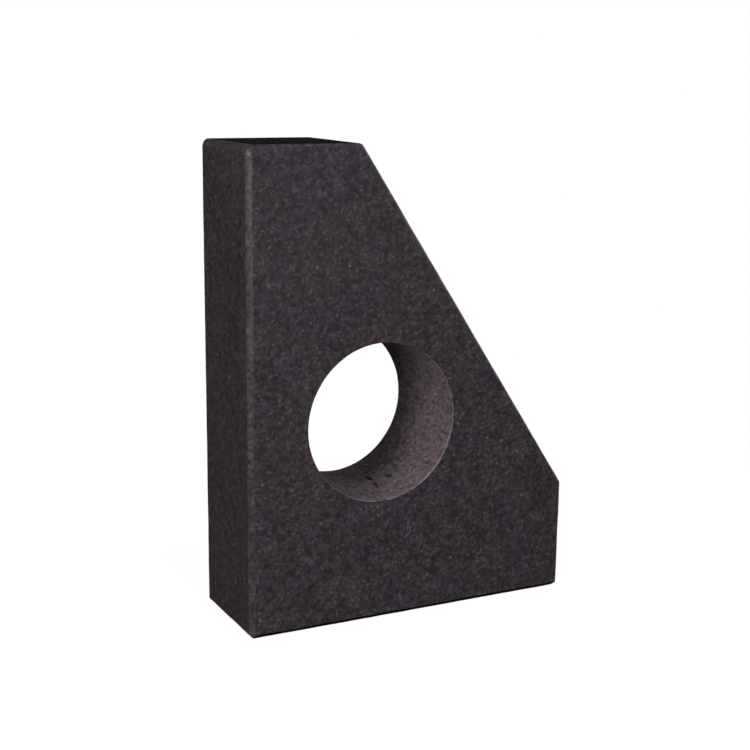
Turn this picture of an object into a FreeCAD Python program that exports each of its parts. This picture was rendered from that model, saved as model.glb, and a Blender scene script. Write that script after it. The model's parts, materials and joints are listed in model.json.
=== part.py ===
"""Granite tri-square: a block of black granite, ground on every side, with a bored hole through it.

It stands on its base and holds one long upright face square to that base. The profile is a tall
rectangle with one corner sawn off, which leaves a short land on top and a short nose at the toe.
One solid. Millimetres, +Z up, base on Z = 0, origin under the middle of the block.
"""
import FreeCAD, Part
import math
import os
import Sketcher

NODE = "tri_square"
ORIGIN_POINT = (-1, 1)
START, END, CENTRE = 1, 2, 3
ANGLE_TOLERANCE = 1e-6
VOLUME_TOLERANCE = 1e-6

DIMENSIONS = [
    ("height", 200.0, "base to top land, along the upright face"),
    ("base_length", 150.0, "upright face to nose, along the base"),
    ("thickness", 50.0, "front face to back face"),
    ("top_land", 49.0, "flat top, from the upright face to the slanted face"),
    ("nose_height", 49.0, "short vertical side at the toe, above the base"),
    ("bore_diameter", 67.0, "through hole, front to back"),
    ("bore_from_upright", 59.5, "hole's centre, from the upright face"),
    ("bore_above_base", 86.0, "hole's centre, above the base"),
    ("upright_chamfer", 2.0, "broken edges down both sides of the upright face"),
    ("crown_chamfer", 2.5, "broken edge between the upright face and the top land"),
    ("face_chamfer", 1.0, "the other straight edges round the front and back faces"),
    ("cross_chamfer", 1.0, "the other edges across the thickness"),
    ("bore_chamfer", 0.4, "both rims of the hole"),
]

# Each chamfer takes the edges whose two sides pass its test and that are still sharp. The order
# matters: the faces' edges are broken before the ones that run across the thickness.
CHAMFERS = [
    ("upright_chamfer", lambda sides: "upright" in sides and sides & {"front", "back"}),
    ("face_chamfer", lambda sides: sides & {"front", "back"}),
    ("crown_chamfer", lambda sides: sides == {"upright", "land"}),
    ("cross_chamfer", lambda sides: True),
]

doc = FreeCAD.newDocument("granite_tri_square")


def make_sheet():
    """The driving dimensions, one row each: name, value, meaning."""
    sheet = doc.addObject("Spreadsheet::Sheet", "dimensions")
    for row, (alias, value, meaning) in enumerate(DIMENSIONS, start=1):
        sheet.set(f"A{row}", alias)
        sheet.set(f"B{row}", str(value))
        sheet.set(f"C{row}", meaning)
        sheet.setAlias(f"B{row}", alias)
    doc.recompute()
    return sheet


def origin_plane(body, role):
    """One of the body's own origin planes."""
    return next(f for f in body.Origin.OriginFeatures if f.Role == role)


def sketch_on_side(body, name):
    """A sketch on the plane halfway through the thickness: its x is X and its y is Z."""
    sketch = body.newObject("Sketcher::SketchObject", name)
    sketch.AttachmentSupport = [(origin_plane(body, "XZ_Plane"), "")]
    sketch.MapMode = "FlatFace"
    return sketch


def bind(sketch, constraint, alias):
    """Adds a constraint that takes its value from a cell of the sheet."""
    index = sketch.addConstraint(constraint)
    sketch.renameConstraint(index, alias)
    sketch.setExpression(f"Constraints.{alias}", f"dimensions.{alias}")


def draw_profile(body, sheet):
    """The five-sided outline, with its base centred on the origin."""
    sketch = sketch_on_side(body, "profile")
    left, right = -sheet.base_length / 2, sheet.base_length / 2
    corners = [
        FreeCAD.Vector(left, 0, 0),
        FreeCAD.Vector(right, 0, 0),
        FreeCAD.Vector(right, sheet.nose_height, 0),
        FreeCAD.Vector(left + sheet.top_land, sheet.height, 0),
        FreeCAD.Vector(left, sheet.height, 0),
    ]
    base, nose, slant, land, upright = range(len(corners))
    for start, end in zip(corners, corners[1:] + corners[:1]):
        sketch.addGeometry(Part.LineSegment(start, end), False)
    for side, following in ((base, nose), (nose, slant), (slant, land), (land, upright), (upright, base)):
        sketch.addConstraint(Sketcher.Constraint("Coincident", side, END, following, START))
    for side in (base, land):
        sketch.addConstraint(Sketcher.Constraint("Horizontal", side))
    for side in (nose, upright):
        sketch.addConstraint(Sketcher.Constraint("Vertical", side))
    sketch.addConstraint(Sketcher.Constraint("Symmetric", base, START, base, END, *ORIGIN_POINT))
    bind(sketch, Sketcher.Constraint("Distance", base, sheet.base_length), "base_length")
    bind(sketch, Sketcher.Constraint("Distance", nose, sheet.nose_height), "nose_height")
    bind(sketch, Sketcher.Constraint("Distance", land, sheet.top_land), "top_land")
    bind(sketch, Sketcher.Constraint("Distance", upright, sheet.height), "height")
    return sketch


def draw_bore(body, sheet):
    """The hole's circle, on a sketch whose own origin lies on the hole's axis."""
    sketch = sketch_on_side(body, "bore_circle")
    across = "dimensions.bore_from_upright - dimensions.base_length / 2"
    sketch.setExpression("AttachmentOffset.Base.x", across)
    sketch.setExpression("AttachmentOffset.Base.y", "dimensions.bore_above_base")
    circle = Part.Circle(FreeCAD.Vector(0, 0, 0), FreeCAD.Vector(0, 0, 1), sheet.bore_diameter / 2)
    index = sketch.addGeometry(circle, False)
    sketch.addConstraint(Sketcher.Constraint("Coincident", index, CENTRE, *ORIGIN_POINT))
    bind(sketch, Sketcher.Constraint("Diameter", index, sheet.bore_diameter), "bore_diameter")
    return sketch


def main_normals(sheet):
    """Outward normals of the block's seven flat sides."""
    slant = FreeCAD.Vector(sheet.height - sheet.nose_height, 0, sheet.base_length - sheet.top_land)
    return {
        "front": FreeCAD.Vector(0, -1, 0),
        "back": FreeCAD.Vector(0, 1, 0),
        "base": FreeCAD.Vector(0, 0, -1),
        "upright": FreeCAD.Vector(-1, 0, 0),
        "land": FreeCAD.Vector(0, 0, 1),
        "nose": FreeCAD.Vector(1, 0, 0),
        "slant": slant.normalize(),
    }


def side_of(face, normals):
    """The name of the side that a face belongs to, or None for a chamfer or the hole's wall."""
    if not isinstance(face.Surface, Part.Plane):
        return None
    normal = face.normalAt(0, 0)
    return next((name for name, n in normals.items() if (normal - n).Length < ANGLE_TOLERANCE), None)


def edges_where(shape, curve, is_wanted):
    """Names of the shape's edges that are this kind of curve and that is_wanted says yes to."""
    numbered = enumerate(shape.Edges, start=1)
    return [f"Edge{i}" for i, edge in numbered if isinstance(edge.Curve, curve) and is_wanted(edge)]


def sharp_edges(shape, normals, is_wanted):
    """Names of the edges where two flat sides still meet, and is_wanted says yes to that pair."""
    def test(edge):
        sides = {side_of(face, normals) for face in shape.ancestorsOfType(edge, Part.Face)}
        return None not in sides and is_wanted(sides)
    return edges_where(shape, Part.Line, test)


def rim_edges(shape):
    """Names of the hole's two round rims."""
    return edges_where(shape, Part.Circle, lambda edge: True)


def add_chamfer(body, base, edges, alias):
    """A 45 degree chamfer on the named edges, as wide as a cell of the sheet."""
    chamfer = body.newObject("PartDesign::Chamfer", alias)
    chamfer.Base = (base, edges)
    chamfer.setExpression("Size", f"dimensions.{alias}")
    doc.recompute()
    return chamfer


def make_block(sheet):
    """Sawn to its outline, bored through, then every edge broken."""
    body = doc.addObject("PartDesign::Body", NODE)
    body.Label = NODE
    profile = draw_profile(body, sheet)
    doc.recompute()

    block = body.newObject("PartDesign::Pad", "sawn_block")
    block.Profile = profile
    block.SideType = "Symmetric"
    block.setExpression("Length", "dimensions.thickness")
    doc.recompute()

    bore = body.newObject("PartDesign::Pocket", "bore")
    bore.Profile = draw_bore(body, sheet)
    bore.SideType = "Symmetric"
    bore.Type = "ThroughAll"
    doc.recompute()
    removed = block.Shape.Volume - bore.Shape.Volume
    drilled = math.pi * (sheet.bore_diameter / 2) ** 2 * sheet.thickness
    if abs(removed - drilled) > VOLUME_TOLERANCE * drilled:
        raise RuntimeError(f"the bore took {removed:.1f} mm3 and not {drilled:.1f}")

    last = bore
    for alias, is_wanted in CHAMFERS:
        edges = sharp_edges(last.Shape, main_normals(sheet), is_wanted)
        last = add_chamfer(body, last, edges, alias)
    body.Tip = add_chamfer(body, last, rim_edges(last.Shape), "bore_chamfer")
    doc.recompute()
    return body


def check_document():
    """Stops on a failed object, which a recompute can leave without raising."""
    for item in doc.Objects:
        if {"Invalid", "Error"} & set(item.State):
            raise RuntimeError(f"{item.Name} failed: {item.State}")


def write_part(body):
    """Checks the finished solid and writes it, under its own name."""
    shape = body.Shape
    if shape.isNull() or not shape.isValid() or len(shape.Solids) != 1:
        raise RuntimeError(f"{body.Label} isn't one valid solid")
    box = shape.BoundBox
    print(f"{body.Label}: X {box.XMin:.2f} to {box.XMax:.2f}, Y {box.YMin:.2f} to {box.YMax:.2f},"
          f" Z {box.ZMin:.2f} to {box.ZMax:.2f} mm, {len(shape.Faces)} faces, {shape.Volume:.0f} mm3")
    os.makedirs("parts", exist_ok=True)
    shape.exportStep(f"parts/{body.Label}.step")


sheet = make_sheet()
block = make_block(sheet)
check_document()
write_part(block)
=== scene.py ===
# %% [markdown]
# # A granite tri-square, dressed
#
# The real object is one block of fine black granite: a stone square that stands on its base and
# holds one long upright face at a right angle to it. Its faces are ground matt, its edges are
# broken by hand with an abrasive stone, and a core drill has taken a round hole out of it to make
# it lighter to lift. There is no paint, no metal and no moving part, so everything that gives it
# its look is the stone itself.
#
# The solid model is loaded first. It is the frame that everything here is measured from.

# %% Load the frame
import json
import math

import bmesh
import bpy
from mathutils import Matrix, Vector, noise


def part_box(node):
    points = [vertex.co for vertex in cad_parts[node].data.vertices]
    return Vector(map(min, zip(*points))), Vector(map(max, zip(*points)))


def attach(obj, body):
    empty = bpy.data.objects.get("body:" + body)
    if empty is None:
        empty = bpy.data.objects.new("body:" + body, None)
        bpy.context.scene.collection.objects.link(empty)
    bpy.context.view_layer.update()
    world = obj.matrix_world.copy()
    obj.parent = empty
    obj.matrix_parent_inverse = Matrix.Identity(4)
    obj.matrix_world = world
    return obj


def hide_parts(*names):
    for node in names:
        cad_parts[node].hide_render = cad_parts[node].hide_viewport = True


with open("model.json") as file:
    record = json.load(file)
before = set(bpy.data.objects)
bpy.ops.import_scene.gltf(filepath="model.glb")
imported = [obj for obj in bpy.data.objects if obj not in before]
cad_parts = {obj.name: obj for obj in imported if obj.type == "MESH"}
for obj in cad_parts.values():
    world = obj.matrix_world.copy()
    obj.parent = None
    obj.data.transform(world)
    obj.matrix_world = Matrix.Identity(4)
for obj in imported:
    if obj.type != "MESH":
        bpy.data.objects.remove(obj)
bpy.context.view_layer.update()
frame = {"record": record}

NODE = "tri_square"
MM = 0.001
low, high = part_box(NODE)
mounts = {mount["name"]: mount for mount in frame["record"]["mounts"]}
print(f"block: {(high - low).x / MM:.1f} x {(high - low).y / MM:.1f} x {(high - low).z / MM:.1f} mm")

# %% [markdown]
# The frame gives the block's box and the hole's centre and radius. Two sizes aren't in it as
# numbers of their own: the short land on top and the short nose at the toe, which are what is left
# of two sides of a plain rectangle once the slanted face has been sawn.
#
# The edges are broken by different widths, as the photograph shows them. Most are broken 1 mm.
# Those round the base and down the upright face are broken 2 mm, and the crown, where the upright
# face meets the land, 2.5 mm. The hole's rims are only just touched.

# %% Sizes of the block
LAND = 49 * MM
NOSE = 49 * MM
EDGE = 1.0 * MM
BASE_EDGE = 2.0 * MM
UPRIGHT_EDGE = 2.0 * MM
CROWN_EDGE = 2.5 * MM
RIM_EDGE = 0.45 * MM

bore_centre = Vector(mounts["bore"]["pos_m"])
bore_radius = mounts["bore"]["dims"]["r_mm"] * MM
OUTLINE = {
    "base": (low.x, low.z),
    "nose": (high.x, low.z),
    "slant": (high.x, low.z + NOSE),
    "land": (low.x + LAND, high.z),
    "upright": (low.x, high.z),
}
print(f"bore: {2 * bore_radius / MM:.1f} mm across, {(bore_centre.x - low.x) / MM:.1f} mm from the upright")

# %% [markdown]
# ## The picture
#
# The view transform is Standard, so a colour comes out as it is written. The camera stands a
# little above the top of the block and to the left of its front face. Its place comes from
# matching the block's corners, whose real places are known, with where the photograph shows them,
# and its long lens keeps the sides nearly parallel.

# %% View and camera
scene = bpy.context.scene
scene.view_settings.view_transform = "Standard"

CAMERA_PLACE = Vector((-277.6, -525.6, 229.1)) * MM
CAMERA_YAW = math.radians(-27.45)
CAMERA_DOWN = math.radians(13.52)
CAMERA_ROLL = math.radians(0.77)
CAMERA_LENS = 67.63
CAMERA_SHIFT = (-0.005, 0.041)

camera = bpy.data.objects.new("camera", bpy.data.cameras.new("camera"))
camera.data.lens = CAMERA_LENS
camera.data.shift_x, camera.data.shift_y = CAMERA_SHIFT
camera.data.clip_start = 0.01
camera.matrix_world = (
    Matrix.Translation(CAMERA_PLACE)
    @ Matrix.Rotation(CAMERA_YAW, 4, "Z")
    @ Matrix.Rotation(math.pi / 2 - CAMERA_DOWN, 4, "X")
    @ Matrix.Rotation(CAMERA_ROLL, 4, "Z")
)
scene.collection.objects.link(camera)
scene.camera = camera
print(f"camera {CAMERA_PLACE.length:.2f} m from the block, {CAMERA_LENS} mm lens")

# %% [markdown]
# The rest of the file makes many nodes, so one helper adds a node to a tree, sets its options and
# fills its inputs. An input that is given a socket is linked, and one that is given a plain value
# is set.

# %% A helper for node trees
def add(tree, kind, inputs=None, **options):
    made = tree.nodes.new(kind)
    for name, value in options.items():
        setattr(made, name, value)
    for key, value in (inputs or {}).items():
        if isinstance(value, bpy.types.NodeSocket):
            tree.links.new(value, made.inputs[key])
        else:
            made.inputs[key].default_value = value
    return made


def calc(tree, operation, *values, clamp=False):
    made = add(tree, "ShaderNodeMath", dict(enumerate(values)), operation=operation, use_clamp=clamp)
    return made.outputs[0]


def remap(tree, value, start, end, to_start=0.0, to_end=1.0, smooth=True):
    inputs = {"Value": value, "From Min": start, "From Max": end, "To Min": to_start, "To Max": to_end}
    kind = "SMOOTHSTEP" if smooth else "LINEAR"
    return add(tree, "ShaderNodeMapRange", inputs, interpolation_type=kind).outputs[0]


def blend(tree, factor, first, second, mode="MIX"):
    made = add(tree, "ShaderNodeMix", {0: factor, 6: first, 7: second}, data_type="RGBA", blend_type=mode)
    return made.outputs[2]


# %% [markdown]
# ## The light
#
# Five soft lamps light the block, and most are placed by what they do to the hole. The left lamp
# is tall and low: it lights the upright face, rakes across the front and reaches the far side of
# the hole. The side lamp is small and close, and lifts the top of the upright face. The front lamp
# fills the front from low down. The high lamp shines down into the hole, and the front rim keeps
# it from the back of the hole's floor, which stays dark. The back lamp is weak and only keeps the
# slanted side and the back from going black.
#
# Together they put about one unit of light on the front face, so that the stone's colours render
# as they are written. Aiming a lamp means turning its own -Z axis along the line to the target.

# %% Lamps
TARGET = Vector((0.0, 0.0, 0.1))
COOL_LIGHT = (0.98, 0.98, 1.05)


def direction(azimuth, elevation):
    """Azimuth is turned from straight in front of the block, and is positive to the right."""
    azimuth, elevation = math.radians(azimuth), math.radians(elevation)
    flat = math.cos(elevation)
    return Vector((math.sin(azimuth) * flat, -math.cos(azimuth) * flat, math.sin(elevation)))


def softbox(name, azimuth, elevation, distance, width, height, strength, colour):
    place = TARGET + direction(azimuth, elevation) * distance
    lamp = bpy.data.lights.new(name, "AREA")
    lamp.shape = "RECTANGLE"
    lamp.size, lamp.size_y = width, height
    lamp.energy = strength * math.pi**2 * distance**2
    lamp.color = colour
    holder = bpy.data.objects.new(name, lamp)
    aim = (TARGET - place).to_track_quat("-Z", "Y").to_matrix().to_4x4()
    holder.matrix_world = Matrix.Translation(place) @ aim
    scene.collection.objects.link(holder)
    print(f"{name}: {lamp.energy:.1f} W at {distance} m")
    return holder


softbox("left_lamp", azimuth=-60, elevation=10, distance=0.75, width=0.22, height=0.60,
        strength=0.85, colour=(1.0, 0.96, 0.92))
softbox("side_lamp", azimuth=-98, elevation=52, distance=0.38, width=0.16, height=0.16,
        strength=0.16, colour=(1.0, 0.96, 0.94))
softbox("front_lamp", azimuth=12, elevation=15, distance=1.50, width=0.60, height=0.50,
        strength=0.42, colour=COOL_LIGHT)
softbox("high_lamp", azimuth=10, elevation=65, distance=2.00, width=0.66, height=0.66,
        strength=0.29, colour=COOL_LIGHT)
softbox("back_lamp", azimuth=112, elevation=10, distance=1.00, width=0.50, height=0.40,
        strength=0.12, colour=(1.0, 0.98, 0.96))

# %% [markdown]
# ## Floor and background
#
# The background is pure white. It isn't made by lighting the room more, because that would grey a
# black stone: Light Path tells which rays come from the camera, and those see white. A ray that
# was bounced by gloss sees a share of it only, since the stone is matt and has no mirror-like
# gloss to show the room in. Every other ray meets a dim warm room.
#
# The floor glows white far from the block. Near the block part of that glow gives way to a plain
# matt surface, which takes the soft shadow. To the rays that carry light to the block the floor is
# plain dark grey, so that it throws little light back up.

# %% World and floor
WHITE = (1.0, 1.0, 1.0, 1.0)
AMBIENT = (1.0, 0.95, 0.82, 1.0)
AMBIENT_STRENGTH = 0.12
GLOSS_SHARE = 0.04
FLOOR_SIZE = 6.0
FLOOR_GREY = (0.13, 0.12, 0.105, 1.0)
GLOW_NEAR, GLOW_FAR = 0.86, 1.0
SHADOW_SHARE = 0.30
SHADOW_REACH = (0.10, 0.42)


def background_rays(tree):
    path = tree.nodes.new("ShaderNodeLightPath").outputs
    seen = calc(tree, "ADD", path["Is Camera Ray"], path["Is Transmission Ray"])
    return calc(tree, "MULTIPLY_ADD", path["Is Glossy Ray"], GLOSS_SHARE, seen, clamp=True)


world = bpy.data.worlds.new("studio")
world.use_nodes = True
tree = world.node_tree
tree.nodes.clear()
room = add(tree, "ShaderNodeBackground", {"Color": AMBIENT, "Strength": AMBIENT_STRENGTH})
white = add(tree, "ShaderNodeBackground", {"Color": WHITE, "Strength": 1.0})
shown = add(tree, "ShaderNodeMixShader", {0: background_rays(tree), 1: room.outputs[0], 2: white.outputs[0]})
add(tree, "ShaderNodeOutputWorld", {"Surface": shown.outputs[0]})
scene.world = world

floor_paint = bpy.data.materials.new("studio_floor")
floor_paint.use_nodes = True
tree = floor_paint.node_tree
tree.nodes.clear()
at = tree.nodes.new("ShaderNodeTexCoord").outputs["Object"]
away = add(tree, "ShaderNodeVectorMath", {0: at}, operation="LENGTH").outputs["Value"]
plain = add(tree, "ShaderNodeBsdfDiffuse", {"Color": FLOOR_GREY})
shaded = add(tree, "ShaderNodeBsdfDiffuse", {"Color": remap(tree, away, *SHADOW_REACH, SHADOW_SHARE, 0.0)})
glow = add(tree, "ShaderNodeEmission", {"Strength": remap(tree, away, *SHADOW_REACH, GLOW_NEAR, GLOW_FAR)})
lit = add(tree, "ShaderNodeAddShader", {0: shaded.outputs[0], 1: glow.outputs[0]})
shown = add(tree, "ShaderNodeMixShader", {0: background_rays(tree), 1: plain.outputs[0], 2: lit.outputs[0]})
add(tree, "ShaderNodeOutputMaterial", {"Surface": shown.outputs[0]})

half = FLOOR_SIZE / 2
corners = [(-half, -half, 0), (half, -half, 0), (half, half, 0), (-half, half, 0)]
floor_mesh = bpy.data.meshes.new("floor")
floor_mesh.from_pydata(corners, [], [(0, 1, 2, 3)])
floor_mesh.materials.append(floor_paint)
floor = bpy.data.objects.new("floor", floor_mesh)
scene.collection.objects.link(floor)

# %% [markdown]
# ## The stone, as node groups
#
# Black granite of this kind is a dark paste of small crystals with short pale feldspar laths
# lying every way in it, a few brighter specks, and slow clouds where the mix changes. The pattern
# goes right through the block, so it is worked out in three dimensions from Object coordinates:
# it then meets itself at every edge and runs on down the wall of the hole, as in real stone.
#
# The laths are Voronoi cells pulled long in one direction. One such layer looks combed, so
# several layers are turned different ways and the brightest wins at each point. The pull has to
# come after the turn, which is what a Mapping node of the Texture kind does. Each cell's own
# random colour decides whether it holds a lath at all. A slow noise bends the laths, and faint
# threads run between them: a thread is where another noise passes through its middle value.
#
# The Stretch input draws the whole pattern out along the block's thickness. Sides that are seen
# at a slant need it, or their crystals would look pressed flat.
#
# Most of a noise's values lie in a band round its middle, 0.5, so that band and not 0 to 1 is what
# gets spread over the range that a look needs. Each noise is also packed more or less closely than
# the crystals or the clouds it goes with.

# %% Group: the crystals
def new_group(name, inputs, outputs):
    group = bpy.data.node_groups.new(name, "ShaderNodeTree")
    for label, value in inputs.items():
        socket = group.interface.new_socket(label, in_out="INPUT", socket_type="NodeSocketFloat")
        socket.default_value = value
    for label in outputs:
        group.interface.new_socket(label, in_out="OUTPUT", socket_type="NodeSocketFloat")
    return group, group.nodes.new("NodeGroupInput").outputs


def finish_group(group, results):
    end = group.nodes.new("NodeGroupOutput")
    for label, socket in results.items():
        group.links.new(socket, end.inputs[label])
    return group


LATH_TURNS = ((0.3, 0.2, 0.1), (1.4, 0.5, 0.9), (-0.6, 1.3, 0.4), (0.8, -1.0, 1.7), (-1.5, 0.4, 2.4))
LATH_LENGTH = 2.0
LATH_BODY = 0.76
LATH_BRIGHTNESS = (0.30, 0.90)
LATH_CROWDING = (0.5, 1.6)
BEND = 1.6
THREAD_WIDTH, THREAD_STRENGTH = 0.26, 0.34
THREAD_PARTS = (0.48, 0.66)
SPECK_SHARE = 0.014
SPECK_BODY = (0.45, 0.15)
MIDDLE = 0.5
BAND, WIDER_BAND = (0.35, 0.65), (0.3, 0.7)
CLOSENESS = {"swirl": 0.4, "thread": 0.75, "grain": 0.7, "fine": 2.2, "wide cloud": 0.22, "tint": 0.4}
TINT_SHIFT = (0.31, 0.17, 0.05)


def speckle(group, at, scale, detail=1.0):
    return add(group, "ShaderNodeTexNoise", {"Vector": at, "Scale": scale, "Detail": detail}).outputs["Fac"]


def lath_layer(group, at, scale, share, turn):
    """Pale laths that all lie along one direction, as a mask."""
    turned = add(group, "ShaderNodeMapping", {"Vector": at, "Rotation": turn, "Scale": (1, 1, LATH_LENGTH)},
                 vector_type="TEXTURE")
    cells = add(group, "ShaderNodeTexVoronoi", {"Vector": turned.outputs[0], "Scale": scale})
    luck = add(group, "ShaderNodeSeparateColor", {0: cells.outputs["Color"]})
    body = remap(group, cells.outputs["Distance"], LATH_BODY, 0.0)
    chosen = calc(group, "LESS_THAN", luck.outputs[0], share)
    bright = remap(group, luck.outputs[1], 0.0, 1.0, *LATH_BRIGHTNESS)
    return calc(group, "MULTIPLY", calc(group, "MULTIPLY", body, chosen), bright)


def crystals():
    """Masks of the stone's laths, its bright specks, its grains and its clouds."""
    inputs = {"Crystal Size": 1.5 * MM, "Lath Share": 0.14, "Cloud Size": 6 * MM, "Stretch": 1.0}
    outputs = ("Laths", "Specks", "Grain", "Fine", "Clouds", "Tint")
    group, given = new_group("granite_crystals", inputs, outputs)
    at = group.nodes.new("ShaderNodeTexCoord").outputs["Object"]
    along_thickness = calc(group, "DIVIDE", 1.0, given["Stretch"])
    squeeze = add(group, "ShaderNodeCombineXYZ", {0: 1.0, 1: along_thickness, 2: 1.0}).outputs[0]
    at = add(group, "ShaderNodeVectorMath", {0: at, 1: squeeze}, operation="MULTIPLY").outputs[0]
    scale = calc(group, "DIVIDE", 1.0, given["Crystal Size"])
    cloud_scale = calc(group, "DIVIDE", 1.0, given["Cloud Size"])
    small = speckle(group, at, cloud_scale)
    wide = speckle(group, at, calc(group, "MULTIPLY", cloud_scale, CLOSENESS["wide cloud"]))
    clouds = calc(group, "MULTIPLY_ADD", small, 0.5, calc(group, "MULTIPLY", wide, 0.5))

    crowding = remap(group, small, *BAND, *LATH_CROWDING, smooth=False)
    share = calc(group, "MULTIPLY", given["Lath Share"], crowding)
    loose = calc(group, "MULTIPLY", scale, CLOSENESS["swirl"])
    swirl = add(group, "ShaderNodeTexNoise", {"Vector": at, "Scale": loose})
    centred = add(group, "ShaderNodeVectorMath", {0: swirl.outputs["Color"], 1: (MIDDLE, MIDDLE, MIDDLE)},
                  operation="SUBTRACT").outputs[0]
    reach = calc(group, "MULTIPLY", given["Crystal Size"], BEND)
    bend = add(group, "ShaderNodeVectorMath", {0: centred, "Scale": reach}, operation="SCALE").outputs[0]
    bent = add(group, "ShaderNodeVectorMath", {0: at, 1: bend}, operation="ADD").outputs[0]
    laths = None
    for turn in LATH_TURNS:
        layer = lath_layer(group, bent, scale, share, turn)
        laths = layer if laths is None else calc(group, "MAXIMUM", laths, layer)

    coarse = calc(group, "MULTIPLY", scale, CLOSENESS["thread"])
    swell = speckle(group, bent, coarse, detail=0.0)
    from_middle = calc(group, "ABSOLUTE", calc(group, "SUBTRACT", swell, MIDDLE))
    thread = remap(group, from_middle, THREAD_WIDTH, 0.0)
    part = remap(group, speckle(group, at, scale, detail=0.0), *THREAD_PARTS)
    threads = calc(group, "MULTIPLY", calc(group, "MULTIPLY", thread, part), THREAD_STRENGTH)
    laths = calc(group, "MAXIMUM", laths, threads)

    sparse = add(group, "ShaderNodeTexVoronoi", {"Vector": at, "Scale": coarse})
    luck = add(group, "ShaderNodeSeparateColor", {0: sparse.outputs["Color"]})
    spot = remap(group, sparse.outputs["Distance"], *SPECK_BODY)
    specks = calc(group, "MULTIPLY", spot, calc(group, "LESS_THAN", luck.outputs[2], SPECK_SHARE))

    grain = speckle(group, at, calc(group, "MULTIPLY", scale, CLOSENESS["grain"]), detail=0.5)
    fine = speckle(group, at, calc(group, "MULTIPLY", scale, CLOSENESS["fine"]), detail=1.0)
    aside = add(group, "ShaderNodeMapping", {"Vector": at, "Location": TINT_SHIFT}).outputs[0]
    tint = speckle(group, aside, calc(group, "MULTIPLY", cloud_scale, CLOSENESS["tint"]))
    results = {"Laths": laths, "Specks": specks, "Grain": grain, "Fine": fine, "Clouds": clouds, "Tint": tint}
    return finish_group(group, results)


crystal_group = crystals()
print(f"crystals: {len(crystal_group.nodes)} nodes")

# %% [markdown]
# Next to a broken edge the ground face is bruised by the rubbing, and a scatter of grains there
# has gone pale. To know how near a point is to an edge, the second group measures its depth below
# each of the seven flat sides. On a face the smallest depth is zero and the second smallest is the
# way to the nearest edge, so the group keeps the two smallest as it goes through the sides.

# %% Group: the way to the nearest edge
FRONT, BACK = Vector((0, -1, 0)), Vector((0, 1, 0))


def outline_sides():
    """Each side of the outline as a name, two corners and its outward normal."""
    names = list(OUTLINE)
    rows = []
    for name, following in zip(names, names[1:] + names[:1]):
        (x1, z1), (x2, z2) = OUTLINE[name], OUTLINE[following]
        normal = Vector((z2 - z1, 0, x1 - x2)).normalized()
        rows.append((name, (x1, z1), (x2, z2), normal))
    return rows


SIDES = outline_sides()
PLANES = [(normal, normal.dot(Vector((x, 0, z)))) for _, (x, z), _, normal in SIDES]
PLANES += [(FRONT, -low.y), (BACK, high.y)]


def edge_distance():
    group, _ = new_group("way_to_edge", {}, ("Distance",))
    at = group.nodes.new("ShaderNodeTexCoord").outputs["Object"]
    nearest, second = 1.0, 1.0
    for normal, offset in PLANES:
        along = add(group, "ShaderNodeVectorMath", {0: at, 1: normal}, operation="DOT_PRODUCT")
        depth = calc(group, "SUBTRACT", offset, along.outputs["Value"])
        second = calc(group, "MINIMUM", second, calc(group, "MAXIMUM", nearest, depth))
        nearest = calc(group, "MINIMUM", nearest, depth)
    return finish_group(group, {"Distance": second})


edge_group = edge_distance()
for name, _, _, normal in SIDES:
    print(f"{name}: normal {normal.x:.2f}, {normal.z:.2f}")

# %% [markdown]
# ## Eight finishes of one stone
#
# The faces, the edges and the hole are the same rock, worked in different ways, so one function
# makes every finish from its own colours and depths. Ground stone is dark, because a smooth face
# lets light in and little of it comes back. The upright face is lapped smoother, so its crystals
# show less. The short land on top is painted nearly black, which is painted shade for the little
# light that falls on it, and the same dark finish paints shade along the edges of the base. A
# rubbed edge is a little paler and has a faint sheen from the fine stone that rubbed it, and a worn
# edge is mottled. The drilled wall is pale and rough. Its rims are paler still, partly as broken
# stone and partly as a painted highlight along the lit rims. The hollows of the pits and marks are
# painted dark, which is painted shade in them. Each finish keeps its own Principled shader.

# %% Finishes
def colour(red, green, blue):
    """A colour as it is read off a screen, 0 to 255, made linear for a socket."""
    linear = [((c / 255 + 0.055) / 1.055) ** 2.4 if c > 10 else c / 255 / 12.92 for c in (red, green, blue)]
    return (*linear, 1.0)


WARM, COOL = (1.055, 0.99, 0.98, 1.0), (0.945, 1.0, 1.05, 1.0)
FINE_SWING, CLOUD_SWING, ROUGH_SWING = 0.02, 0.07, 0.05
FINE_RELIEF, LATH_RELIEF = 0.4, 0.3
BRUISE_START, BRUISE_FULL = 3.0 * MM, 0.8 * MM


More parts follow.
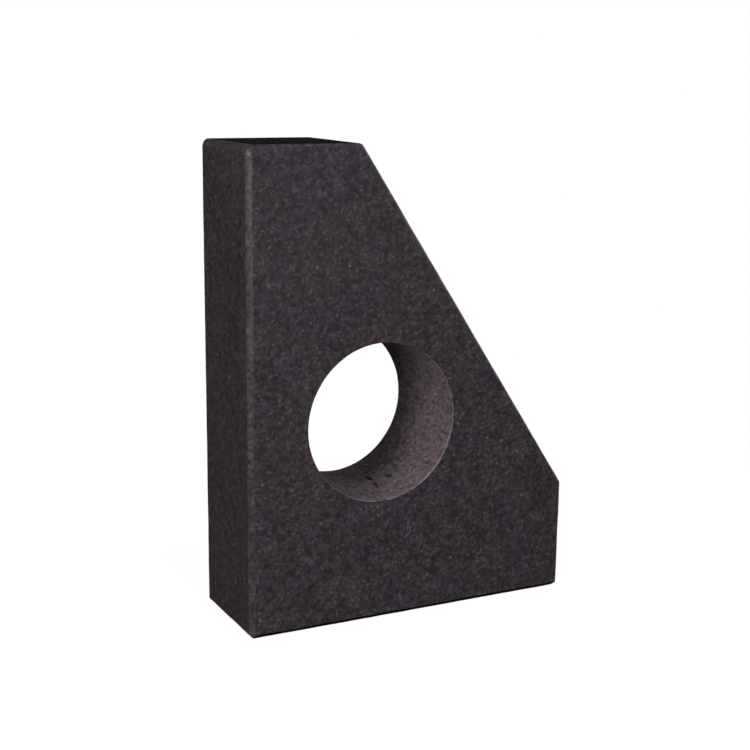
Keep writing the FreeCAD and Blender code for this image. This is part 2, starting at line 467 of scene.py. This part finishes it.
def granite(name, paste, lath, speck, gloss, roughness, bump, crystal=1.5 * MM, contrast=0.28,
            bruise=0.0, stretch=1.0):
    """One finish of the stone: its paste, laths and specks, and how matt, rough and bruised it is."""
    material = bpy.data.materials.new(name)
    material.use_nodes = True
    tree = material.node_tree
    tree.nodes.clear()
    stone = add(tree, "ShaderNodeGroup", {}, node_tree=crystal_group)
    stone.inputs["Crystal Size"].default_value = crystal
    stone.inputs["Stretch"].default_value = stretch
    stone = stone.outputs
    grain = remap(tree, stone["Grain"], *WIDER_BAND, 1 - contrast, 1 + contrast, smooth=False)
    fine = remap(tree, stone["Fine"], *WIDER_BAND, 1 - FINE_SWING, 1 + FINE_SWING, smooth=False)
    cloud = remap(tree, stone["Clouds"], *BAND, 1 - CLOUD_SWING, 1 + CLOUD_SWING, smooth=False)
    shade = calc(tree, "MULTIPLY", calc(tree, "MULTIPLY", grain, fine), cloud)
    tinted = blend(tree, remap(tree, stone["Tint"], *BAND), COOL, WARM)
    base = blend(tree, 1.0, paste, tinted, "MULTIPLY")
    base = add(tree, "ShaderNodeVectorMath", {0: base, "Scale": shade}, operation="SCALE").outputs[0]
    base = blend(tree, stone["Laths"], base, lath)
    base = blend(tree, stone["Specks"], base, speck)
    if bruise:
        way = add(tree, "ShaderNodeGroup", {}, node_tree=edge_group).outputs["Distance"]
        near = remap(tree, way, BRUISE_START, BRUISE_FULL)
        pale = calc(tree, "MULTIPLY", remap(tree, stone["Fine"], 0.5, 0.65), near)
        base = blend(tree, calc(tree, "MULTIPLY", pale, bruise), base, speck)
    rougher, smoother = roughness + ROUGH_SWING, roughness - ROUGH_SWING
    rough = remap(tree, stone["Grain"], 0.2, 0.8, smoother, rougher, smooth=False)
    crust = calc(tree, "MULTIPLY_ADD", stone["Fine"], FINE_RELIEF, stone["Grain"])
    height = calc(tree, "MULTIPLY_ADD", stone["Laths"], LATH_RELIEF, crust)
    relief = add(tree, "ShaderNodeBump", {"Height": height, "Strength": 1.0, "Distance": bump})
    shader = add(tree, "ShaderNodeBsdfPrincipled", {
        "Base Color": base, "Roughness": rough, "Normal": relief.outputs[0], "Specular IOR Level": gloss,
    })
    add(tree, "ShaderNodeOutputMaterial", {"Surface": shader.outputs[0]})
    print(f"{name}: {len(tree.nodes)} nodes")
    return material


ground = granite("ground_granite", colour(45, 40, 44), colour(80, 73, 77), colour(90, 84, 88),
                 gloss=0.10, roughness=0.5, bump=0.012 * MM, bruise=0.25)
lapped = granite("lapped_granite", colour(43, 38, 40), colour(67, 60, 63), colour(78, 72, 75),
                 gloss=0.10, roughness=0.45, bump=0.01 * MM, crystal=1.7 * MM, contrast=0.27, stretch=1.4)
# Painted shade: the land finish is near black because little light falls on the top, and the base edges take
# it as painted shade along the bottom.
land = granite("land_shade_granite", colour(30, 26, 26), colour(42, 38, 40), colour(52, 48, 50),
               gloss=0.0, roughness=0.8, bump=0.03 * MM)
rubbed = granite("rubbed_granite", colour(57, 49, 53), colour(84, 77, 80), colour(94, 88, 91),
                 gloss=0.20, roughness=0.45, bump=0.03 * MM)
worn = granite("worn_granite", colour(48, 43, 46), colour(80, 74, 77), colour(98, 92, 95),
               gloss=0.15, roughness=0.45, bump=0.03 * MM, crystal=1.8 * MM, contrast=0.40)
cored = granite("cored_granite", colour(90, 81, 86), colour(128, 118, 122), colour(150, 140, 144),
                gloss=0.05, roughness=0.8, bump=0.03 * MM, crystal=1.3 * MM, contrast=0.32, stretch=1.5)
# The rim finish is paler partly as broken stone and partly as a painted highlight along the lit rims.
rim = granite("rim_wear_and_highlight_granite", colour(95, 86, 90), colour(136, 126, 130), colour(152, 142, 146),
              gloss=0.06, roughness=0.7, bump=0.04 * MM, crystal=2.0 * MM, contrast=0.60)
# The plucked finish is dark as painted shade in the hollows of the pits and marks.
plucked = granite("pit_shade_granite", colour(58, 51, 51), colour(70, 62, 63), colour(78, 70, 71),
                  gloss=0.05, roughness=0.8, bump=0.03 * MM, crystal=0.9 * MM)

# %% [markdown]
# ## The block
#
# The block starts as the saw left it: the outline pushed through the thickness, with every edge
# sharp. The land and the upright face have finishes of their own, and the other sides are ground.
# Everything after this only takes stone away, as it was on the real one, so the block can't grow
# out of its size.

# %% The sawn block
FACE_FINISHES = (ground, land, lapped)
OWN_FINISH = {"land": land, "upright": lapped}


def mesh_object(name, bm, material):
    bmesh.ops.recalc_face_normals(bm, faces=bm.faces)
    mesh = bpy.data.meshes.new(name)
    bm.to_mesh(mesh)
    bm.free()
    mesh.materials.append(material)
    made = bpy.data.objects.new(name, mesh)
    scene.collection.objects.link(made)
    return made


def sawn_block():
    bm = bmesh.new()
    front = [bm.verts.new((x, low.y, z)) for x, z in OUTLINE.values()]
    back = [bm.verts.new((x, high.y, z)) for x, z in OUTLINE.values()]
    bm.faces.new(front)
    bm.faces.new(back[::-1])
    for i, name in enumerate(OUTLINE):
        j = (i + 1) % len(front)
        side = bm.faces.new((front[i], back[i], back[j], front[j]))
        side.material_index = FACE_FINISHES.index(OWN_FINISH.get(name, ground))
    made = mesh_object("granite_block", bm, ground)
    for finish in FACE_FINISHES[1:]:
        made.data.materials.append(finish)
    return made


block = sawn_block()
print(f"sawn block: {len(block.data.polygons)} faces")

# %% [markdown]
# ## Broken edges
#
# A bevel would give each edge one clean, even flat. On the real block the abrasive stone rocked a
# little as it was pushed along, so the flat is slightly crowned, wanders in width and is rough to
# the touch. Here each stroke is a tool of its own: a closed bar that follows the edge, with that
# crowned and uneven surface on its inner side. Cutting the bars away from the block leaves their
# print on it.
#
# Every station along an edge is a point and the two directions that lead away from it over the
# neighbouring faces. The same bar then serves the straight edges and, bent into a ring, the rims
# of the hole.

# %% The tool that breaks an edge
CROWN = 0.06
OVERREACH = 0.35
WIDENED = 1.06
STEPS_ACROSS = 7
STATION_SPACING = 0.8 * MM
WANDER, WANDER_LENGTH = 0.14 * MM, 9 * MM
GRIT, GRIT_LENGTH = 0.05 * MM, 1.5 * MM
GRIT_SHIFT = Vector((7, 3, 5))
OUTER_CORNER = 3


def unevenness(point):
    slow = noise.noise(point / WANDER_LENGTH) * WANDER
    return slow + noise.noise(point / GRIT_LENGTH + GRIT_SHIFT) * GRIT


def section(point, along_a, along_b, leg):
    """The bar's outline at one station: its crowned inner side, then its outer corner."""
    reach = leg * WIDENED
    start, end = point + along_a * reach, point + along_b * reach
    middle, half_chord = (start + end) / 2, (end - start) / 2
    outward = (point - middle).normalized()
    ring = []
    for i in range(STEPS_ACROSS + 1):
        t = (2 * i / STEPS_ACROSS - 1) * (1 + OVERREACH)
        spot = middle + half_chord * t + outward * (CROWN * leg * (1 - t * t))
        ring.append(spot + outward * unevenness(spot))
    ring.append(point + outward * OUTER_CORNER * leg)
    return ring


def edge_tool(name, stations, leg, finish, closed=False):
    bm = bmesh.new()
    rings = [[bm.verts.new(p) for p in section(*station, leg)] for station in stations]
    pairs = list(zip(rings, rings[1:]))
    if closed:
        pairs.append((rings[-1], rings[0]))
    else:
        bm.faces.new(rings[0])
        bm.faces.new(rings[-1][::-1])
    for ring, following in pairs:
        for i in range(len(ring)):
            j = (i + 1) % len(ring)
            bm.faces.new((ring[i], ring[j], following[j], following[i]))
    tool = mesh_object(name, bm, finish)
    for polygon in tool.data.polygons:
        polygon.use_smooth = True
    return tool


# %% [markdown]
# An edge of the block is where two sides meet. Walking away from it over one side means going
# against the other side's normal, as far as that side's own plane allows. Each side of the outline
# has two long edges, one on the front and one on the back, and a cross edge at its start. The long
# edges of the upright face and of the land are worn, and the rest are rubbed, except those of the
# base: they take the land's dark finish, which is painted shade along the bottom. The crown is a
# cross edge and takes the upright face's darker lapped finish, which is painted shade on an edge
# that faces the light.

# %% The fifteen straight edges
OVERRUN = 3 * MM
EDGE_WIDTHS = {"upright": UPRIGHT_EDGE, "base": BASE_EDGE}
# The base edges take the dark land finish: painted shade along the bottom.
EDGE_FINISHES = {"base": land, "upright": worn, "land": worn}


def straight_stations(start, end, normal_a, normal_b):
    direction = (end - start).normalized()
    away_a = normal_a.cross(direction)
    away_b = normal_b.cross(direction)
    away_a *= -1 if away_a.dot(normal_b) > 0 else 1
    away_b *= -1 if away_b.dot(normal_a) > 0 else 1
    start, end = start - direction * OVERRUN, end + direction * OVERRUN
    count = max(2, round((end - start).length / STATION_SPACING))
    return [(start.lerp(end, i / count), away_a, away_b) for i in range(count + 1)]


def straight_tools():
    tools = []
    for i, (name, (x1, z1), (x2, z2), normal) in enumerate(SIDES):
        leg, finish = EDGE_WIDTHS.get(name, EDGE), EDGE_FINISHES.get(name, rubbed)
        for side, y in ((FRONT, low.y), (BACK, high.y)):
            stations = straight_stations(Vector((x1, y, z1)), Vector((x2, y, z2)), normal, side)
            tools.append(edge_tool(f"{name}_stroke", stations, leg, finish))
        before, _, _, normal_before = SIDES[i - 1]
        leg, finish = EDGE, rubbed
        if {before, name} == {"land", "upright"}:
            # The crown takes the darker lapped finish instead of a rubbed one: painted shade on an edge that
            # faces the light.
            leg, finish = CROWN_EDGE, lapped
        elif "base" in (before, name):
            leg = BASE_EDGE
        corner = Vector((x1, low.y, z1)), Vector((x1, high.y, z1))
        stations = straight_stations(*corner, normal_before, normal)
        tools.append(edge_tool(f"{name}_cross_stroke", stations, leg, finish))
    return tools


edge_tools = straight_tools()
print(f"edge tools: {len(edge_tools)}")

# %% [markdown]
# ## The hole
#
# A diamond core drill leaves a wall that is true to size but dull and grainy: crystals are plucked
# out of it, and the drill's slow advance leaves faint rings. The wall's shape follows a rule, so
# Geometry Nodes make the core that is taken out: a fine cylinder whose points are pushed in and
# out. One noise, drawn out a little along the axis, makes the grains, and another that changes
# only along the axis makes the rings.

# %% The core, in Geometry Nodes
def new_geometry_tree(name, inputs):
    tree = bpy.data.node_groups.new(name, "GeometryNodeTree")
    kinds = {int: "NodeSocketInt", float: "NodeSocketFloat", Vector: "NodeSocketVector",
             bpy.types.Object: "NodeSocketObject", bpy.types.Material: "NodeSocketMaterial"}
    for label, value in inputs.items():
        tree.interface.new_socket(label, in_out="INPUT", socket_type=kinds[type(value)])
    tree.interface.new_socket("Geometry", in_out="OUTPUT", socket_type="NodeSocketGeometry")
    return tree, tree.nodes.new("NodeGroupInput").outputs


def finish_geometry(tree, geometry, material):
    real = add(tree, "GeometryNodeRealizeInstances", {"Geometry": geometry}).outputs[0]
    painted = add(tree, "GeometryNodeSetMaterial", {"Geometry": real, "Material": material}).outputs[0]
    add(tree, "NodeGroupOutput", {"Geometry": painted})


def grow(name, tree, inputs):
    """Runs a Geometry Nodes tree with these inputs and returns its result as a plain mesh object."""
    host = bpy.data.objects.new(name, bpy.data.meshes.new(name))
    scene.collection.objects.link(host)
    modifier = host.modifiers.new(name, "NODES")
    modifier.node_group = tree
    for item in tree.interface.items_tree:
        if item.in_out == "INPUT":
            modifier[item.identifier] = inputs[item.name]
    host.update_tag()
    evaluated = host.evaluated_get(bpy.context.evaluated_depsgraph_get())
    mesh = bpy.data.meshes.new_from_object(evaluated)
    host.modifiers.remove(modifier)
    host.data = mesh
    print(f"{name}: {len(mesh.polygons)} faces")
    return host


CORE = {
    "Centre": bore_centre,
    "Radius": bore_radius,
    "Length": (high.y - low.y) + 2 * OVERRUN,
    "Around": 440,
    "Along": 104,
    "Grain Size": 1.4 * MM,
    "Grain Depth": 0.16 * MM,
    "Stretch": 1.6,
    "Ring Spacing": 2.6 * MM,
    "Ring Depth": 0.05 * MM,
    "Material": cored,
}


def core_tree():
    tree, given = new_geometry_tree("drilled_core", CORE)
    size = {"Vertices": given["Around"], "Side Segments": given["Along"], "Radius": given["Radius"],
            "Depth": given["Length"]}
    core = add(tree, "GeometryNodeMeshCylinder", size).outputs["Mesh"]
    laid = add(tree, "GeometryNodeTransform", {"Geometry": core, "Rotation": (math.pi / 2, 0, 0)}).outputs[0]
    at = tree.nodes.new("GeometryNodeInputPosition").outputs[0]
    radial = add(tree, "ShaderNodeVectorMath", {0: at, 1: (1, 0, 1)}, operation="MULTIPLY").outputs[0]
    outward = add(tree, "ShaderNodeVectorMath", {0: radial}, operation="NORMALIZE").outputs[0]

    scale = calc(tree, "DIVIDE", 1.0, given["Grain Size"])
    along_axis = calc(tree, "DIVIDE", 1.0, given["Stretch"])
    squeeze = add(tree, "ShaderNodeCombineXYZ", {0: 1.0, 1: along_axis, 2: 1.0}).outputs[0]
    drawn = add(tree, "ShaderNodeVectorMath", {0: at, 1: squeeze}, operation="MULTIPLY").outputs[0]
    rough = add(tree, "ShaderNodeTexNoise", {"Vector": drawn, "Scale": scale, "Detail": 2.0}).outputs[0]
    plucked = calc(tree, "MULTIPLY", calc(tree, "SUBTRACT", rough, MIDDLE), given["Grain Depth"])
    depth_along = add(tree, "ShaderNodeSeparateXYZ", {0: at}).outputs["Y"]
    turns = calc(tree, "DIVIDE", depth_along, given["Ring Spacing"])
    ring_noise = add(tree, "ShaderNodeTexNoise", {"W": turns, "Scale": 1.0, "Detail": 1.0},
                     noise_dimensions="1D")
    swing = calc(tree, "SUBTRACT", ring_noise.outputs[0], MIDDLE)
    rings = calc(tree, "MULTIPLY", swing, given["Ring Depth"])
    push = add(tree, "ShaderNodeVectorMath", {0: outward, "Scale": calc(tree, "ADD", plucked, rings)},
               operation="SCALE").outputs[0]
    pushed = add(tree, "GeometryNodeSetPosition", {"Geometry": laid, "Offset": push}).outputs[0]
    placed = add(tree, "GeometryNodeTransform", {"Geometry": pushed, "Translation": given["Centre"]})
    smooth = add(tree, "GeometryNodeSetShadeSmooth", {"Geometry": placed.outputs[0]}).outputs[0]
    finish_geometry(tree, smooth, given["Material"])
    return tree


core = grow("drilled_core", core_tree(), CORE)

# %% [markdown]
# The rims of the hole are broken too, by a light turn of the stone. The bar from above is bent
# round them, with its two directions leading out over the face and down the wall. The stone was
# held steeply, so it took more off the wall than off the face.

# %% The two rims
RIM_STATIONS = 400
OVER_FACE, DOWN_WALL = 0.7, 2.0


def rim_tool(name, y, inward):
    stations = []
    for i in range(RIM_STATIONS):
        turn = 2 * math.pi * i / RIM_STATIONS
        radial = Vector((math.cos(turn), 0, math.sin(turn)))
        point = Vector((bore_centre.x, y, bore_centre.z)) + radial * bore_radius
        stations.append((point, radial * OVER_FACE, inward * DOWN_WALL))
    return edge_tool(name, stations, RIM_EDGE, rim, closed=True)


rim_tools = [rim_tool("front_rim_stroke", low.y, BACK), rim_tool("back_rim_stroke", high.y, FRONT)]

# %% [markdown]
# ## Chips and pits
#
# Stone that is knocked loses small shells along its edges, and a core drill plucks whole grains
# out of the wall it leaves. Both are scatters of small flattened lumps that are cut away, so both
# trees share the part that makes them: points spread over a surface and never closer than a set
# spacing, some of them thrown out, and a lump on each that is turned to face away from the
# surface and then tilted a little. The lumps stay smaller than the spacing, so no two touch.

# %% Lumps on a surface, in Geometry Nodes
POINTS_PER_SQUARE_METRE = 1.5e6
LUMP_BREADTH = 0.75
LUMP_TILT = 0.35
MOSTLY_SMALL = 2.5
LUCK_SEED, SIZE_SEED, TILT_SEED = 11, 23, 37


def pick(tree, seed):
    """A random number from 0 to 1 for each point."""
    inputs = {2: 0.0, 3: 1.0, 8: seed}
    return add(tree, "FunctionNodeRandomValue", inputs, data_type="FLOAT").outputs[1]


def lumps(tree, given, surface, thrown_out):
    spread = add(tree, "GeometryNodeDistributePointsOnFaces", {
        "Mesh": surface, "Distance Min": given["Spacing"], "Density Max": POINTS_PER_SQUARE_METRE,
        "Seed": given["Seed"],
    }, distribute_method="POISSON")
    unlucky = calc(tree, "GREATER_THAN", pick(tree, LUCK_SEED), given["Share"])
    gone = calc(tree, "MAXIMUM", unlucky, thrown_out)
    kept = add(tree, "GeometryNodeDeleteGeometry", {"Geometry": spread.outputs["Points"], "Selection": gone})
    growth = calc(tree, "POWER", pick(tree, SIZE_SEED), MOSTLY_SMALL)
    size = add(tree, "ShaderNodeMapRange", {0: growth, 3: given["Smallest"], 4: given["Largest"]}).outputs[0]
    breadth = calc(tree, "MULTIPLY", size, LUMP_BREADTH)
    height = calc(tree, "MULTIPLY", size, given["Flatness"])
    scale = add(tree, "ShaderNodeCombineXYZ", {0: size, 1: breadth, 2: height}).outputs[0]
    least, most = (-LUMP_TILT, -LUMP_TILT, 0.0), (LUMP_TILT, LUMP_TILT, 2 * math.pi)
    sway = {0: least, 1: most, 8: TILT_SEED}
    tilt = add(tree, "FunctionNodeRandomValue", sway, data_type="FLOAT_VECTOR")
    turn = add(tree, "FunctionNodeEulerToRotation", {0: tilt.outputs[0]}).outputs[0]
    outward = spread.outputs["Rotation"]
    facing = add(tree, "FunctionNodeRotateRotation", {"Rotation": outward, "Rotate By": turn},
                 rotation_space="LOCAL").outputs[0]
    lump = add(tree, "GeometryNodeMeshIcoSphere", {"Radius": 1.0, "Subdivisions": 2}).outputs["Mesh"]
    return add(tree, "GeometryNodeInstanceOnPoints", {
        "Points": kept.outputs[0], "Instance": lump, "Rotation": facing, "Scale": scale,
    }).outputs[0]


# %% [markdown]
# Chips sit along the edges only. The points are spread over the whole sawn block, and those that
# lie farther from an edge of it than a short reach are thrown out.

# %% The chips
CHIPS = {
    "Block": block,
    "Reach": 2.1 * MM,
    "Spacing": 1.5 * MM,
    "Share": 0.10,
    "Smallest": 0.15 * MM,
    "Largest": 0.60 * MM,
    "Flatness": 0.5,
    "Seed": 4,
    "Material": rubbed,
}


def chip_tree():
    tree, given = new_geometry_tree("edge_chips", CHIPS)
    stone = add(tree, "GeometryNodeObjectInfo", {"Object": given["Block"]}).outputs["Geometry"]
    edge = add(tree, "GeometryNodeProximity", {0: stone}, target_element="EDGES").outputs["Distance"]
    chips = lumps(tree, given, stone, calc(tree, "GREATER_THAN", edge, given["Reach"]))
    finish_geometry(tree, chips, given["Material"])
    return tree


chips = grow("edge_chips", chip_tree(), CHIPS)

# %% [markdown]
# The pits are spread over a plain cylinder where the wall is. It is made short and then drawn out
# to the hole's length, and its pits with it, which makes them long along the axis.

# %% The pits
MARGIN = 1 * MM
# The pits take the dark plucked finish, which is painted shade in their hollows.
PITS = {
    "Centre": bore_centre,
    "Radius": bore_radius,
    "Length": (high.y - low.y) - 2 * MARGIN,
    "Around": 256,
    "Stretch": 1.8,
    "Spacing": 1.4 * MM,
    "Share": 0.14,
    "Smallest": 0.20 * MM,
    "Largest": 0.60 * MM,
    "Flatness": 0.7,
    "Seed": 9,
    "Material": plucked,
}


def pit_tree():
    tree, given = new_geometry_tree("wall_pits", PITS)
    short = calc(tree, "DIVIDE", given["Length"], given["Stretch"])
    size = {"Vertices": given["Around"], "Radius": given["Radius"], "Depth": short}
    wall = add(tree, "GeometryNodeMeshCylinder", size, fill_type="NONE").outputs["Mesh"]
    laid = add(tree, "GeometryNodeTransform", {"Geometry": wall, "Rotation": (math.pi / 2, 0, 0)}).outputs[0]
    pits = lumps(tree, given, laid, 0.0)
    pull = add(tree, "ShaderNodeCombineXYZ", {0: 1.0, 1: given["Stretch"], 2: 1.0}).outputs[0]
    move = {"Geometry": pits, "Translation": given["Centre"], "Scale": pull}
    finish_geometry(tree, add(tree, "GeometryNodeTransform", move).outputs[0], given["Material"])
    return tree


pits = grow("wall_pits", pit_tree(), PITS)

# %% [markdown]
# Three marks in the wall are bigger than the rest and can be told apart in the photograph: a round
# pit and two gouges in a row. They are placed one by one, by their angle round the hole in degrees
# and their depth from the front. All their sizes are in millimetres, from the middle outwards.

# %% The three marks
MARKS = {
    "round_pit": {"angle": -64.6, "depth": 21.4, "across": 1.2, "along": 1.9, "deep": 0.75, "slant": 0},
    "inner_gouge": {"angle": -75.9, "depth": 28.0, "across": 1.0, "along": 3.6, "deep": 0.45, "slant": 4},
    "outer_gouge": {"angle": -78.3, "depth": 19.0, "across": 0.85, "along": 4.2, "deep": 0.35, "slant": 12},
}


def wall_mark(name, angle, depth, across, along, deep, slant):
    turn = math.radians(angle)
    radial = Vector((math.cos(turn), 0, math.sin(turn)))
    spin = Matrix.Rotation(math.radians(slant), 3, radial)
    lengthways, sideways = spin @ BACK, spin @ radial.cross(BACK)
    centre = Vector((bore_centre.x, low.y + depth * MM, bore_centre.z)) + radial * bore_radius
    bm = bmesh.new()
    bmesh.ops.create_icosphere(bm, subdivisions=3, radius=1.0)
    for vertex in bm.verts:
        x, y, z = vertex.co
        offset = sideways * x * across + lengthways * y * along + radial * z * deep
        vertex.co = centre + offset * MM
    return mesh_object(name, bm, plucked)


# The marks take the dark plucked finish too: painted shade in their hollows.
marks = [wall_mark(name, **sizes) for name, sizes in MARKS.items()]

# %% [markdown]
# One more blow shows: the top end of the long front edge, where three broken edges meet, has lost
# a small flake. Its hollow takes the pale rim finish, partly as fresh broken stone and partly as a
# painted highlight, which makes it the palest spot on the block.

# %% The knocked corner
KNOCK_PLACE = Vector((low.x, low.y, high.z)) + Vector((0.80, 0.80, -2.6)) * MM
KNOCK_SIZE = Vector((1.25, 1.25, 1.5)) * MM
KNOCK_SWELL, KNOCK_UNEVEN, KNOCK_DETAIL = 1.1, 0.25, 1.3


def knock():
    bm = bmesh.new()
    bmesh.ops.create_icosphere(bm, subdivisions=3, radius=1.0)
    for vertex in bm.verts:
        swell = KNOCK_SWELL + KNOCK_UNEVEN * noise.noise(vertex.co * KNOCK_DETAIL)
        vertex.co = KNOCK_PLACE + vertex.co * KNOCK_SIZE * swell
    # The pale rim finish is partly a painted highlight here.
    return mesh_object("corner_knock", bm, rim)


marks.append(knock())

# %% [markdown]
# ## Taking the stone away
#
# The cuts are Boolean modifiers with the Manifold solver, which is quick and sure on closed
# meshes. Transferring the material gives each cut the finish of the tool that made it. The result
# becomes a plain mesh, and the tools are thrown away.

# %% Cut
def cut(body, tools):
    for tool in tools:
        modifier = body.modifiers.new(tool.name, "BOOLEAN")
        modifier.operation = "DIFFERENCE"
        modifier.solver = "MANIFOLD"
        modifier.material_mode = "TRANSFER"
        modifier.object = tool
    evaluated = body.evaluated_get(bpy.context.evaluated_depsgraph_get())
    mesh = bpy.data.meshes.new_from_object(evaluated)
    body.modifiers.clear()
    body.data = mesh
    for tool in tools:
        bpy.data.objects.remove(tool)
    return body


block = cut(block, [*edge_tools, core, *rim_tools, chips, pits, *marks])
print(f"cut block: {len(block.data.polygons)} faces, finishes {[m.name for m in block.data.materials]}")

# %% [markdown]
# Before the cut mesh is used, points in the same place are merged, degenerate pieces are dissolved
# and the edges that lack two faces are counted. Corners sharper than a set angle stay crisp and the
# rest are shaded smoothly, and the big ground faces are flat.

# %% Shading and check
CRISP = math.radians(20)
SAME_PLACE = 1e-7


def shade_and_check(body):
    mesh = body.data
    bm = bmesh.new()
    bm.from_mesh(mesh)
    bmesh.ops.remove_doubles(bm, verts=bm.verts, dist=SAME_PLACE)
    bmesh.ops.dissolve_degenerate(bm, edges=bm.edges, dist=SAME_PLACE)
    open_edges = [edge for edge in bm.edges if len(edge.link_faces) != 2]
    bm.to_mesh(mesh)
    bm.free()
    mesh.set_sharp_from_angle(angle=CRISP)
    flat = [material in FACE_FINISHES for material in mesh.materials]
    for polygon in mesh.polygons:
        polygon.use_smooth = not flat[polygon.material_index]
    triangles = sum(len(polygon.vertices) - 2 for polygon in mesh.polygons)
    print(f"{body.name}: {triangles} triangles, {len(open_edges)} open edges")


shade_and_check(block)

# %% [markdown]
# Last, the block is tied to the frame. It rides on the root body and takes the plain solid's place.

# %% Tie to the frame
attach(block, "root")
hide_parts(NODE)
